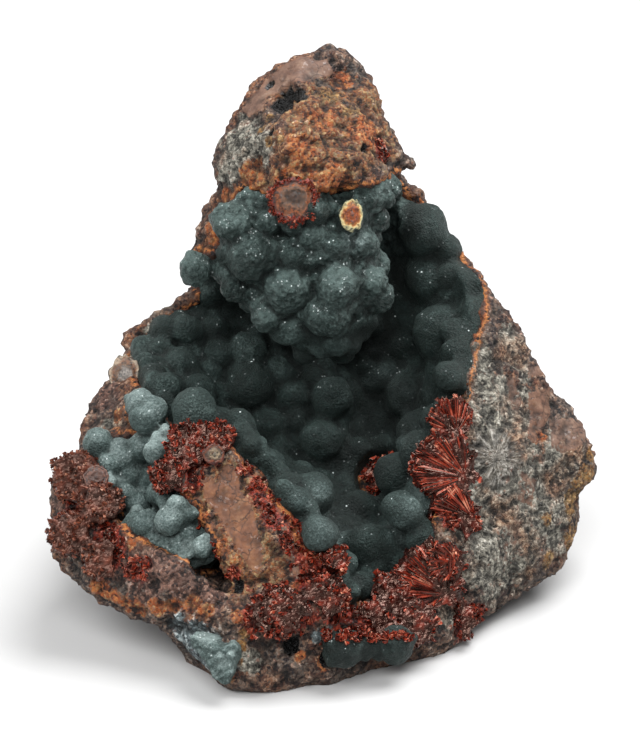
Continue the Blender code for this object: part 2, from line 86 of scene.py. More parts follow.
def newObject(name, data):
    made = bpy.data.objects.new(name, data)
    bpy.context.scene.collection.objects.link(made)
    return made


def pieceFrom(bm, name):
    mesh = bpy.data.meshes.new(name)
    bm.to_mesh(mesh)
    bm.free()
    return newObject(name, mesh)


def applyModifiers(piece):
    bpy.context.view_layer.update()
    graph = bpy.context.evaluated_depsgraph_get()
    made = bpy.data.meshes.new_from_object(piece.evaluated_get(graph))
    old = piece.data
    piece.modifiers.clear()
    piece.data = made
    bpy.data.meshes.remove(old)


def remesh(piece, grain):
    step = piece.modifiers.new("Remesh", "REMESH")
    step.mode = "VOXEL"
    step.voxel_size = grain * mm
    applyModifiers(piece)


def thin(piece, kept):  # fewer faces, and fewest where it bends least
    step = piece.modifiers.new("Decimate", "DECIMATE")
    step.ratio = kept
    applyModifiers(piece)


def treeOf(mesh):
    return BVHTree.FromPolygons([v.co for v in mesh.vertices], [p.vertices[:] for p in mesh.polygons])


def pointsOf(mesh):
    points = np.empty(len(mesh.vertices) * 3)
    mesh.vertices.foreach_get("co", points)
    normals = np.empty(len(mesh.vertices) * 3)
    mesh.vertices.foreach_get("normal", normals)
    return points.reshape(-1, 3), normals.reshape(-1, 3)


def farFrom(points, place):
    return np.linalg.norm(points - np.array(place), axis=1)


def fractal(points, across, *habit):  # unevenness in humps about that many mm across
    return np.array([noise.fractal(Vector(p) / (across * mm), *habit) for p in points])


def movePoints(mesh, points):
    points[:, 2] = np.maximum(points[:, 2], 0.0)  # nothing goes below what it rests on
    mesh.vertices.foreach_set("co", points.ravel())
    mesh.update()


def mark(mesh, name, values):  # a number for each point, which the materials read
    kept = mesh.attributes.new(name, "FLOAT", "POINT")
    kept.data.foreach_set("value", np.asarray(values, dtype=np.float32))


def averaged(mesh, values, rounds):
    ends = np.empty(len(mesh.edges) * 2, dtype=np.int64)
    mesh.edges.foreach_get("vertices", ends)
    a, b = ends[0::2], ends[1::2]
    count = len(mesh.vertices)
    share = np.maximum(np.bincount(a, minlength=count) + np.bincount(b, minlength=count), 1)
    for _ in range(rounds):
        values = np.stack([
            (np.bincount(a, values[b, k], count) + np.bincount(b, values[a, k], count)) / share
            for k in range(values.shape[1])], axis=1)
    return values


def hollowness(mesh, rounds, height):  # above 0 in pits and creases, below 0 on edges and humps
    points, normals = pointsOf(mesh)
    deep = ((averaged(mesh, points, rounds) - points) * normals).sum(axis=1)
    return np.clip(deep / (height * mm), -1, 1)


def smoothStep(values):
    values = np.clip(values, 0, 1)
    return values * values * (3 - 2 * values)


def finishPiece(piece, node, material, smooth=True):
    piece.data.materials.clear()
    piece.data.materials.append(material)
    if smooth:
        piece.data.polygons.foreach_set("use_smooth", [True] * len(piece.data.polygons))
    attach(piece, "root")
    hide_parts(node)


# Materials

def colour(code):  # an sRGB hex colour as linear numbers
    parts = [int(code[k:k + 2], 16) / 255 for k in (1, 3, 5)]
    return tuple(p / 12.92 if p <= 0.04045 else ((p + 0.055) / 1.055) ** 2.4 for p in parts) + (1.0,)


def isOutput(value):
    return isinstance(value, bpy.types.NodeSocket)


def fill(node, values):  # each is a number, a vector, a hex colour or the output of another node
    for name, value in values.items():
        if isOutput(value):
            node.id_data.links.new(value, node.inputs[name])
        else:
            node.inputs[name].default_value = colour(value) if isinstance(value, str) else value


def add(kind, values={}, tree=None, **settings):  # beside the nodes that feed it, where no tree is named
    tree = tree or next(value for value in values.values() if isOutput(value)).id_data
    node = tree.nodes.new("ShaderNode" + kind)
    for name, value in settings.items():
        setattr(node, name, value)
    fill(node, values)
    return node


def newMaterial(name):
    material = bpy.data.materials.new(name)
    material.use_nodes = True
    tree = material.node_tree
    return material, tree, tree.nodes["Principled BSDF"], add("TexCoord", tree=tree).outputs["Object"]


def perMm(size):  # a texture's scale for a pattern of that size in mm
    return 1.0 / (size * mm)


def shades(factor, stops):  # colours or greys along a factor
    ramp = add("ValToRGB", {"Fac": factor})
    entries = ramp.color_ramp.elements
    while len(entries) < len(stops):
        entries.new(0.5)
    for entry, (place, code) in zip(entries, stops):
        entry.position = place
        entry.color = colour(code) if isinstance(code, str) else (code, code, code, 1)
    return ramp.outputs["Color"]


def blend(factor, first, second, how="MIX"):
    return add("Mix", {0: factor, 6: first, 7: second}, data_type="RGBA", blend_type=how).outputs[2]


def maths(what, *values, kind="Math"):
    return add(kind, dict(enumerate(values)), operation=what).outputs[1 if what == "LENGTH" else 0]


def vectors(what, *values):
    return maths(what, *values, kind="VectorMath")


def times(a, b, more=0.0):  # a times b and more
    return maths("MULTIPLY_ADD", a, b, more)


def attribute(tree, name):
    return add("Attribute", tree=tree, attribute_name=name).outputs["Fac"]


def spread(value, low, high, least=0.0, most=1.0):
    return add("MapRange", {0: value, 1: low, 2: high, 3: least, 4: most}).outputs[0]


def noiseOf(coords, scale, detail, rough=0.5):
    values = {"Vector": coords, "Scale": scale, "Detail": detail, "Roughness": rough}
    return add("TexNoise", values).outputs["Fac"]


def cellsOf(coords, size, **settings):  # cells of that size in mm
    return add("TexVoronoi", {"Vector": coords, "Scale": perMm(size)}, **settings).outputs


def dress(shader, colours, rough, height, deep, strength=1.0):  # deep: of the relief, in m
    bump = add("Bump", {"Distance": deep, "Height": height, "Strength": strength})
    fill(shader, {"Base Color": colours, "Roughness": rough, "Normal": bump.outputs[0]})


def fibres(coords, star, streaks):  # streaks that radiate from points about star mm apart
    cells = cellsOf(coords, star)
    away = vectors("NORMALIZE", vectors("SUBTRACT", coords, cells["Position"]))
    shift = vectors("MULTIPLY", cells["Color"], (31.0, 17.0, 23.0))  # so that no two stars are alike
    return noiseOf(vectors("ADD", away, shift), streaks, 3.0, 0.6)


# The rock: limonite and broken stone. Earthy and crumbly, every pit darker by painted shade, its grains of many
# browns.
rockForm = {
    "grain": 0.41,  # mm between the points of its surface
    "humps": (4.2, 0.5),  # mm across, mm high
    "crumbs": (1.9, 0.55),
    "grit": (0.8, 0.26),
    "pits": [(283, 98, 17, 1.7), (300, 92, 10, 1.0), (268, 84, 6, 0.7), (271, 131, 4, 0.8), (292, 646, 9, 1.2),
             (366, 148, 5, 0.8), (236, 585, 8, 0.8), (327, 660, 8, 0.8)],  # pixels across, down, radius; mm deep
    # The edge of a second layer behind the left rim: its outline in pixels, and how near its two sides are in mm
    "layer": [(199, 284), (190, 293), (174, 302), (160, 310), (147, 319), (138, 326), (126, 333), (122, 341),
              (126, 350), (142, 358), (162, 338), (186, 314), (206, 292)],
    "layerNear": (-7.4, -11.5),
    "greyRim": ((155, 318), 5.0),  # where the rim of the hollow isn't orange: pixels, and mm around
}
# Where the picture shows each kind of stone: pixels across and down, and the radius in pixels
rockPatches = {
    "grey": [
        (240, 140, 26), (226, 172, 18), (258, 150, 22), (500, 420, 50), (530, 500, 60), (480, 470, 44),
        (470, 362, 26), (560, 460, 34), (500, 560, 48), (450, 605, 22), (515, 350, 26), (480, 520, 40),
        (112, 425, 12), (250, 660, 14), (138, 350, 10), (153, 332, 13), (168, 317, 14), (184, 304, 12)],
    "blue": [
        (200, 646, 28), (182, 626, 14), (222, 666, 16), (470, 640, 10), (318, 637, 8), (331, 633, 7)],
    "red": [
        (195, 448, 28), (184, 480, 16), (248, 468, 10), (258, 484, 11), (268, 500, 13), (276, 520, 14),
        (288, 540, 14), (300, 560, 13), (312, 574, 20), (270, 612, 26), (198, 520, 7), (216, 548, 7),
        (232, 575, 7), (285, 505, 10), (297, 525, 11), (308, 543, 11), (252, 456, 9), (320, 556, 9),
        (302, 615, 20), (88, 500, 26), (70, 530, 22), (108, 545, 22), (140, 568, 14), (78, 470, 14),
        (436, 460, 24), (452, 512, 17), (420, 562, 26), (470, 622, 22), (400, 622, 28), (372, 626, 20),
        (392, 477, 16), (340, 610, 18), (440, 400, 10), (382, 150, 12)],
    "ochre": [
        (584, 478, 16), (572, 500, 12), (575, 535, 16), (593, 455, 9), (548, 590, 9), (546, 560, 10),
        (549, 520, 8), (270, 118, 5), (262, 130, 5), (268, 142, 6), (280, 140, 5), (330, 96, 12), (352, 110, 10),
        (112, 618, 9), (240, 646, 6), (236, 662, 6), (245, 632, 6), (180, 430, 8)],
    "orange": [
        (126, 605, 9), (156, 607, 9), (238, 616, 8), (300, 148, 16), (322, 118, 16), (366, 128, 20),
        (300, 178, 20), (332, 184, 18), (252, 178, 16), (344, 80, 12), (226, 196, 10), (212, 240, 12),
        (216, 222, 9), (478, 318, 6), (464, 342, 6), (452, 356, 6), (446, 372, 6), (446, 396, 6), (540, 435, 10),
        (576, 500, 8), (118, 416, 7), (100, 588, 12), (112, 597, 10), (140, 611, 9), (172, 605, 9),
        (192, 604, 9), (132, 545, 7), (206, 613, 9), (228, 678, 7), (300, 656, 6), (322, 664, 6), (205, 516, 8),
        (222, 545, 8), (236, 562, 7), (262, 482, 7), (300, 586, 8), (230, 650, 8)],
    "rust": [
        (330, 130, 60), (300, 190, 40), (240, 500, 40), (250, 560, 40), (372, 98, 26), (385, 140, 20)],
    "plum": [
        (104, 396, 18), (150, 572, 30), (120, 560, 24), (182, 588, 24), (212, 600, 14), (96, 556, 20),
        (70, 480, 30), (80, 520, 30)],
}
# Flat broken faces of dense stone: how much of each is bare, how grey it is, and its corners in pixels
flatFaces = [
    (1.0, 0.8, [(272, 76), (283, 66), (300, 56), (328, 60), (334, 72), (306, 82), (290, 84), (266, 96), (262, 108),
                (248, 116), (242, 108), (252, 94)]),
    (1.0, 0.0, [(202, 480), (212, 475), (216, 484), (226, 464), (238, 470), (240, 490), (254, 512), (263, 556),
                (262, 568), (250, 572), (242, 556), (222, 522), (204, 496)]),
    (1.0, 0.2, [(285, 549), (292, 551), (301, 572), (303, 582), (294, 576)]),
    (0.66, 0.9, [(505, 376), (514, 374), (522, 402), (520, 418), (511, 410)]),
    (0.74, 0.6, [(529, 393), (550, 386), (551, 412), (538, 442), (527, 440), (530, 420)]),
    (0.68, 0.8, [(549, 420), (574, 416), (590, 428), (584, 444), (562, 454), (550, 448)]),
    (0.68, 0.8, [(526, 366), (542, 359), (546, 374), (529, 377)]),
    (0.6, 0.8, [(518, 468), (538, 480), (532, 507), (518, 502)]),
    (0.5, 0.8, [(495, 530), (520, 520), (524, 560), (502, 575)]),
]
# Its colours along the tone of its grains, from dark to light
rockColours = {
    "base": [(0.2, "#120c0a"), (0.34, "#321c14"), (0.44, "#5a3423"), (0.52, "#544439"), (0.6, "#7a4c2f"),
             (0.7, "#8f6d57"), (0.82, "#bba38c")],
    "umber": [(0.2, "#0d0b0b"), (0.36, "#272021"), (0.48, "#463830"), (0.56, "#57504a"), (0.66, "#6c5648"),
              (0.8, "#9a8f86")],
    "rust": [(0.2, "#170e0a"), (0.33, "#432618"), (0.42, "#754324"), (0.49, "#574839"), (0.55, "#8a562e"),
             (0.62, "#6f6048"), (0.7, "#947550"), (0.82, "#b9a07a")],
    "seam": [(0.3, "#1c110c"), (0.7, "#3a241a")],
    "red": [(0.22, "#120605"), (0.36, "#43130d"), (0.48, "#7d2416"), (0.57, "#5c3129"), (0.66, "#a33f25"),
            (0.8, "#c98a78")],
    "ochre": [(0.22, "#1a120b"), (0.36, "#4b321b"), (0.46, "#7d552a"), (0.54, "#67563e"), (0.64, "#8f6a3a"),
              (0.8, "#b79a70")],
    "orange": [(0.22, "#1c0e08"), (0.33, "#54260f"), (0.43, "#934a1e"), (0.51, "#6f4e38"), (0.58, "#a05c2b"),
               (0.67, "#94704a"), (0.8, "#c09a6a")],
    "blue": [(0.25, "#1d2223"), (0.4, "#414a4c"), (0.52, "#5f6a6c"), (0.64, "#859091"), (0.8, "#d5dedf")],
    "plum": [(0.22, "#100b0a"), (0.36, "#33211c"), (0.48, "#54392f"), (0.56, "#5f4a42"), (0.66, "#7d5a4b"),
             (0.8, "#a3938a")],
    "black": [(0.35, "#030303"), (0.6, "#15110f"), (0.8, "#4a4542")],
}
starPixel = (497, 458)  # the middle of the star of fibres on the right


def pictureOf(points):  # points in m as millimetres right and up in the picture
    away = (points - np.array(photoView["middle"])) / mm
    down = photoView["lookDown"]
    near = -away[:, 1] * math.cos(down) + away[:, 2] * math.sin(down)
    up = away[:, 1] * math.sin(down) + away[:, 2] * math.cos(down)
    wide = photoView["away"] / (photoView["away"] - near)
    return np.stack([away[:, 0] * wide, up * wide], axis=1)


def insideBy(places, corners):  # mm inside a closed outline, below 0 outside
    far = np.full(len(places), 1e9)
    within = np.zeros(len(places), dtype=bool)
    for a, b in zip(corners, corners[1:] + corners[:1]):
        a, b = np.array(a), np.array(b)
        along = np.clip(((places - a) @ (b - a)) / ((b - a) @ (b - a)), 0, 1)
        far = np.minimum(far, np.linalg.norm(places - a - along[:, None] * (b - a), axis=1))
        crosses = (a[1] > places[:, 1]) != (b[1] > places[:, 1])
        rise = b[1] - a[1] if b[1] != a[1] else 1e-9
        within ^= crosses & (places[:, 0] < (b[0] - a[0]) * (places[:, 1] - a[1]) / rise + a[0])
    return np.where(within, far, -far)


def patchMasks(points, tree):
    wobble = fractal(points, 2.2, 0.8, 2.0, 4)
    masks = {}
    for kind, places in rockPatches.items():
        mask = np.zeros(len(points))
        for across, down, radius in places:
            hit = onto(tree, *pixel(across, down))[0]
            if hit is None:
                continue
            far = farFrom(points, hit) / (radius * photoView["pixel"] * mm)
            mask = np.maximum(mask, smoothStep((1.35 - far + 0.5 * wobble) / 0.75))
        masks[kind] = mask
    masks["flesh"], masks["greyed"] = np.zeros(len(points)), np.zeros(len(points))
    places = pictureOf(points)
    for bare, greyed, corners in flatFaces:
        corners = [pixel(*corner) for corner in corners]
        middle = np.mean(corners, axis=0)
        hit = onto(tree, *middle)[0]
        size = max(np.linalg.norm(np.array(corner) - middle) for corner in corners)
        near = farFrom(points, hit) < (1.3 * size + 2.5) * mm
        deep = insideBy(places, corners) + 0.2 * wobble
        face = smoothStep(deep / 0.35 + 0.6) * near
        masks["flesh"] = np.maximum(masks["flesh"], face * bare)
        masks["greyed"] = np.maximum(masks["greyed"], face * greyed)
    return masks


def addLayer(bm, outline, sides):
    front, back = [[bm.verts.new(seen(*pixel(*place), near)) for place in outline] for near in sides]
    bm.faces.new(front)
    bm.faces.new(reversed(back))
    for k in range(len(outline)):
        bm.faces.new((front[k - 1], back[k - 1], back[k], front[k]))


def makeRock():
    bm = nodeCopy("matrix")
    addLayer(bm, rockForm["layer"], rockForm["layerNear"])
    bmesh.ops.recalc_face_normals(bm, faces=bm.faces)
    rock = pieceFrom(bm, "rock")
    remesh(rock, rockForm["grain"])
    points, normals = pointsOf(rock.data)
    masks = patchMasks(points, rockTree)
    calm = 1 - 0.9 * masks["flesh"] - 0.25 * masks["grey"] * (1 - masks["flesh"])
    across, high = rockForm["humps"]
    humps = fractal(points, across, 0.9, 2.1, 4) * high
    across, high = rockForm["crumbs"]
    crumbs = np.empty(len(points))
    for k, p in enumerate(points):
        at = Vector(p) / (across * mm)
        near, second = noise.voronoi(at)[0][:2]
        crumbs[k] = min(second - near, 0.6) - 0.25 + 0.55 * noise.noise(at * 0.7)
    across, grit = rockForm["grit"]
    gritty = fractal(points, across, 0.6, 2.0, 3) * grit
    moved = humps * (0.2 + 0.8 * calm) + crumbs * high * calm + gritty * (0.12 + 0.88 * calm)
    pits = np.zeros(len(points))
    for across, down, radius, deep in rockForm["pits"]:
        hit = onto(rockTree, *pixel(across, down))[0]
        far = farFrom(points, hit) / (radius * photoView["pixel"] * mm)
        hole = smoothStep((1.15 - far + 0.3 * gritty / grit) / 0.5)
        moved -= hole * deep
        pits = np.maximum(pits, hole)
    ground = smoothStep(points[:, 2] / (1.5 * mm))  # the flat place it rests on stays flat
    points += normals * (moved * ground * mm)[:, None]
    movePoints(rock.data, points)
    for kind, mask in masks.items():
        mark(rock.data, kind, mask)
    # the holes are painted near black: painted shade deep in them
    mark(rock.data, "black", pits)
    # how deep in a pit or crease each point is, for the painted shade there
    mark(rock.data, "pit", hollowness(rock.data, 5, 0.3))
    crusts = [treeOf(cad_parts[n].data) for n in ("hollow_crust", "pocket_crust")]
    near = np.array([min((t.find_nearest(Vector(p), 4 * mm)[3] or 4 * mm) for t in crusts) for p in points])
    place, reach = rockForm["greyRim"]
    pale = smoothStep(1.5 - farFrom(pictureOf(points), pixel(*place)) / reach)
    mark(rock.data, "lip", np.clip(near / (3 * mm) + 0.45 * pale, 0, 1))
    return rock


def rockMaterial():
    material, tree, shader, coords = newMaterial("limoniteStone")

    def grainsOf(size):  # crystal grains of that size in mm, each of one tone
        cells = cellsOf(coords, size)
        return add("SeparateColor", {0: cells["Color"]}).outputs, cells["Distance"]

    broad = noiseOf(coords, perMm(6), 4.0, 0.55)
    lumps = noiseOf(coords, perMm(1.5), 7.0, 0.7)
    grain = noiseOf(coords, perMm(0.4), 4.0, 0.7)
    fineTones, fineGaps = grainsOf(0.33)
    coarseTones = grainsOf(0.8)[0]
    tone = times(fineTones[0], 0.36, times(coarseTones[0], 0.16))
    tone = times(lumps, 0.8, maths("ADD", tone, -0.17))  # about 0.5, from 0.15 to 0.85
    paints = {name: shades(tone, stops) for name, stops in rockColours.items()}
    base = blend(spread(broad, 0.36, 0.56), paints["base"], paints["umber"])

    streaks = fibres(coords, 3.6, 7.0)
    greyTone = times(streaks, 0.75, times(tone, 0.7))
    greyTone = maths("SUBTRACT", greyTone, 0.2)
    grey = shades(greyTone, [(0.25, "#14120f"), (0.37, "#3a3832"), (0.46, "#605d55"), (0.54, "#7a766b"),
                             (0.64, "#989488"), (0.78, "#c9c5ba")])
    brownish = shades(greyTone, [(0.25, "#140e0b"), (0.38, "#3d2c22"), (0.5, "#684a38"),
                                 (0.6, "#866a54"), (0.78, "#b8a48e")])
    grey = blend(spread(broad, 0.5, 0.62), grey, brownish)
    star = vectors("SUBTRACT", coords, onto(rockTree, *pixel(*starPixel))[0])
    rays = noiseOf(vectors("NORMALIZE", star), 9.0, 3.0)
    rayColour = shades(rays, [(0.34, "#2a2620"), (0.46, "#68635a"), (0.58, "#97928a"), (0.7, "#c6c2ba")])
    starReach = times(lumps, 2.2 * mm, times(rays, 1.6 * mm))
    starFar = maths("SUBTRACT", vectors("LENGTH", star), starReach)
    starMask = spread(starFar, 0.9 * mm, 1.7 * mm, 0.85, 0.0)
    paints["grey"] = blend(starMask, grey, rayColour)

    warp = add("TexNoise", {"Vector": coords, "Scale": perMm(1.2), "Detail": 3.0}).outputs["Color"]
    warped = vectors("ADD", coords, vectors("MULTIPLY", warp, (1.6 * mm,) * 3))
    cracks = cellsOf(warped, 2.6, feature="DISTANCE_TO_EDGE")["Distance"]
    crack = spread(cracks, 0.0, 0.03, 1.0, 0.0)
    crack = times(crack, spread(broad, 0.42, 0.5))
    flesh = shades(lumps, [(0.3, "#4a2c1c"), (0.46, "#643f2a"), (0.56, "#70482f"), (0.7, "#866043")])
    greyFlesh = shades(lumps, [(0.3, "#3c2c25"), (0.46, "#57433a"), (0.56, "#634e43"), (0.7, "#7a675b")])
    flesh = blend(attribute(tree, "greyed"), flesh, greyFlesh)
    paints["flesh"] = blend(times(crack, 0.9), flesh, paints["seam"])

    def part(name):  # the patch's mask with a crumbly edge
        edge = times(lumps, 1.5, times(fineTones[1], 0.5, -1.0))
        return spread(maths("ADD", attribute(tree, name), edge), 0.25, 0.75)

    masks = {name: part(name) for name in ("rust", "plum", "grey", "blue", "orange", "ochre", "red")}
    # painted shade: the holes near black
    masks["black"] = spread(attribute(tree, "black"), 0.25, 0.45)
    crumbled = times(lumps, 1.1, times(fineTones[1], 0.3, -0.55))
    masks["flesh"] = spread(maths("ADD", attribute(tree, "flesh"), crumbled), 0.6, 0.8)
    for name in ("rust", "plum", "grey", "orange", "ochre", "blue", "red", "flesh", "black"):
        base = blend(masks[name], base, paints[name])
    lip = attribute(tree, "lip")
    wavy = maths("ADD", lip, times(lumps, 0.8, -0.4))
    band = shades(wavy, [(0.3, "#3a2015"), (0.38, "#8c4a22"), (0.46, "#b9783f"), (0.54, "#7a4527"),
                         (0.64, "#3f281d")])
    bandAmount = times(spread(wavy, 0.5, 0.75, 0.85, 0.0), spread(tone, 0.36, 0.5))
    base = blend(bandAmount, base, band)
    # painted shade: darker in pits and creases, where shade falls
    pit = times(attribute(tree, "pit"), 0.5, 0.5)
    shade = shades(pit, [(0.2, 1.0), (0.45, 0.85), (0.6, 0.4), (0.85, 0.07)])
    base = blend(1.0, base, shade, "MULTIPLY")

    glint = times(spread(fineTones[1], 0.8, 0.84), spread(coarseTones[2], 0.3, 0.5))
    rough = spread(grain, 0.35, 0.65, 0.55, 0.85)
    rough = maths("SUBTRACT", rough, times(masks["red"], 0.3))
    rough = maths("SUBTRACT", rough, times(masks["black"], 0.45))
    rough = maths("SUBTRACT", rough, times(glint, 0.4))
    rough = maths("MAXIMUM", rough, 0.14)
    height = times(grain, 0.5, lumps)
    height = times(fineGaps, -0.35, height)
    height = times(coarseTones[1], 0.22, height)
    height = times(times(streaks, masks["grey"]), 0.5, height)
    height = times(times(rays, starMask), 0.8, height)
    height = times(times(crack, masks["flesh"]), -0.5, height)
    calm = times(masks["flesh"], -0.85, 1.0)
    dress(shader, base, rough, height, 0.5 * mm, calm)
    fill(shader, {"IOR": 1.55, "Specular IOR Level": 0.28})  # earthy, so less than smooth stone gives
    return material


rockTree = treeOf(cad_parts["matrix"].data)
rock = makeRock()
finishPiece(rock, "matrix", rockMaterial())
print("rock made,", len(rock.data.polygons), "faces")

# The crusts: balls of radiating crystals, frosted by their fine tips, black-green in depth and blue-grey in light.
# Their depths and creases have painted shade, their tops painted light and glints.
crusts = {
    "hollow_crust": {"grain": 0.29, "least": 0.9, "most": 2.0, "apart": 0.62, "seed": 3, "frost": 0.0, "out": 0.4,
                     "kept": 0.69},  # kept: this share of its faces, which is under 200,000 triangles
    "pocket_crust": {"grain": 0.22, "least": 0.7, "most": 1.4, "apart": 0.62, "seed": 5, "frost": 0.5, "out": 0.5},
    # black: the underside crust is painted darker all over, as painted shade under the rock that hangs over it
    "underside_crust": {"grain": 0.2, "least": 0.5, "most": 0.9, "apart": 0.7, "seed": 8, "frost": 0.0, "out": 1.1,
                        "black": 0.6},
    "foot_crust": {"grain": 0.16, "least": 0.3, "most": 0.6, "apart": 0.6, "seed": 11, "frost": 0.5, "out": 0.5},
}
# Balls that stand out: right, up and radius in mm, each where the viewer's line meets the CAD's crust
standingBalls = {
    "hollow_crust": [
        (2.0, 9.6, 2.6), (0.9, 6.2, 2.4), (-3.7, 9.4, 2.5), (-8.2, 13.2, 2.7), (-6.2, 13.4, 1.9),
        (-9.8, 9.6, 1.7), (-8.0, 8.9, 1.4), (-14.4, 11.6, 1.9), (4.5, 14.4, 2.1), (1.8, 13.9, 1.8),
        (3.7, 17.6, 1.7), (-3.0, 13.2, 1.9), (-1.2, 15.5, 2.0), (0.2, 13.2, 1.3), (-6.0, 17.1, 1.6),
        (-10.3, 17.1, 2.3), (-3.0, 17.3, 1.7), (-0.6, 18.4, 1.7), (-3.6, 5.1, 2.3), (-6.2, 6.0, 1.7),
        (-1.6, 2.3, 1.7), (0.2, 2.6, 1.5), (1.8, 3.3, 1.7), (0.5, 0.6, 1.4), (-8.4, 2.2, 2.4), (-8.0, -1.7, 2.8),
        (-11.6, 1.9, 1.8), (-16.1, 0.6, 2.1), (-17.8, -1.7, 1.7), (-13.8, -2.3, 1.9), (-12.1, 4.6, 1.7),
        (-15.5, 4.6, 1.8), (-18.4, 2.3, 1.4), (1.3, -3.3, 2.6), (0.2, -8.1, 2.8), (-3.2, -3.3, 1.9),
        (-3.2, -5.5, 1.8), (-6.0, -6.3, 2.3), (-9.1, -6.3, 1.8), (-4.8, -0.1, 1.8), (-5.0, -8.7, 1.5),
        (-0.7, -1.0, 1.5), (-14.4, -4.9, 2.9), (6.1, 10.2, 2.1), (6.6, 8.5, 1.9), (11.8, 16.1, 3.2),
        (13.0, 10.5, 3.3), (14.5, 4.1, 3.8), (7.5, -0.6, 1.8), (10.5, -2.5, 2.9), (11.7, -7.2, 2.8),
        (10.2, -18.3, 2.5), (4.5, -16.0, 2.3), (3.8, -20.6, 2.3), (-0.8, -14.2, 2.3), (0.0, -18.8, 2.1),
        (2.1, -18.1, 1.3), (2.8, -22.3, 1.7), (-4.5, -14.3, 1.7), (-7.4, -11.3, 1.5)],
    "pocket_crust": [
        (-19.8, -5.2, 2.2), (-20.9, -3.9, 1.7), (-25.6, -8.5, 1.7), (-22.8, -9.9, 2.1), (-20.5, -9.0, 1.7),
        (-22.1, -12.3, 1.7), (-19.7, -12.7, 1.9), (-18.3, -14.3, 1.7), (-17.2, -17.1, 1.8), (-20.1, -17.6, 1.6),
        (-22.6, -15.1, 1.8), (-20.9, -15.5, 1.5), (-17.4, -5.3, 0.9)],
    "underside_crust": [(8.7, -31.6, 2.1), (13.0, -30.8, 1.9), (2.8, -32.2, 2.0), (5.6, -31.6, 1.3)],
    "foot_crust": [],
}
# The mouth of the hollow as the picture shows it, in mm
hollowMouth = [(-12.4, 19.0), (8.0, 22.0), (12.8, 18.4), (17.0, 12.4), (18.8, 8.8), (17.0, 3.0), (15.2, -5.8),
               (14.2, -12.7), (12.4, -20.1), (8.0, -25.0), (3.0, -26.8), (-10.0, -15.0), (-17.6, -5.5),
               (-20.4, -1.7), (-21.8, 2.3), (-18.6, 5.8), (-15.0, 8.8)]
ballHabit = {
    "smoothFrom": 7.0,  # mm to the right from where the hollow's balls are broad, low and smooth
    "broader": 1.6,
    "low": (0.85, 0.95),  # shares of the radius that such a ball is sunk
    "lowStanding": 0.95,
    "sunk": (0.45, 0.8),
    "perArea": 2.0,  # tries for each square mm
    "wartyFrom": 30.5,  # mm up, so only the hanging cluster
    "warts": 0.45,  # mm
    "evenness": 0.1,  # mm high where there are no warts
    "bare": (2.0, 0.9),  # mm round the inner fans where the crust draws back, and how far
}
# Where the crust is painted nearly black, as painted shade in the depths of the hollow: pixels across and down, and
# the radius in pixels
paintedShadeSpots = [(392, 405, 38), (376, 338, 26), (345, 512, 22), (402, 225, 24), (360, 460, 30), (395, 275, 20)]
# And where it is thickly frosted
frostiest = [(325, 532, 18), (322, 492, 10), (385, 378, 14), (400, 532, 14), (402, 400, 12), (355, 240, 12),
             (420, 500, 16), (395, 440, 10), (300, 500, 10)]


def addBall(bm, middle, radius, rng):
    turn = Matrix.Rotation(rng.uniform(0, 6.28), 4, Vector([rng.gauss(0, 1) for _ in range(3)]))
    shape = Matrix.Diagonal([rng.uniform(0.88, 1.12) for _ in range(3)]).to_4x4()
    place = Matrix.Translation(middle) @ turn @ shape
    bmesh.ops.create_icosphere(bm, subdivisions=3 if radius > 1.1 * mm else 2, radius=radius, matrix=place)


fansTree = treeOf(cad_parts["inner_fans"].data)


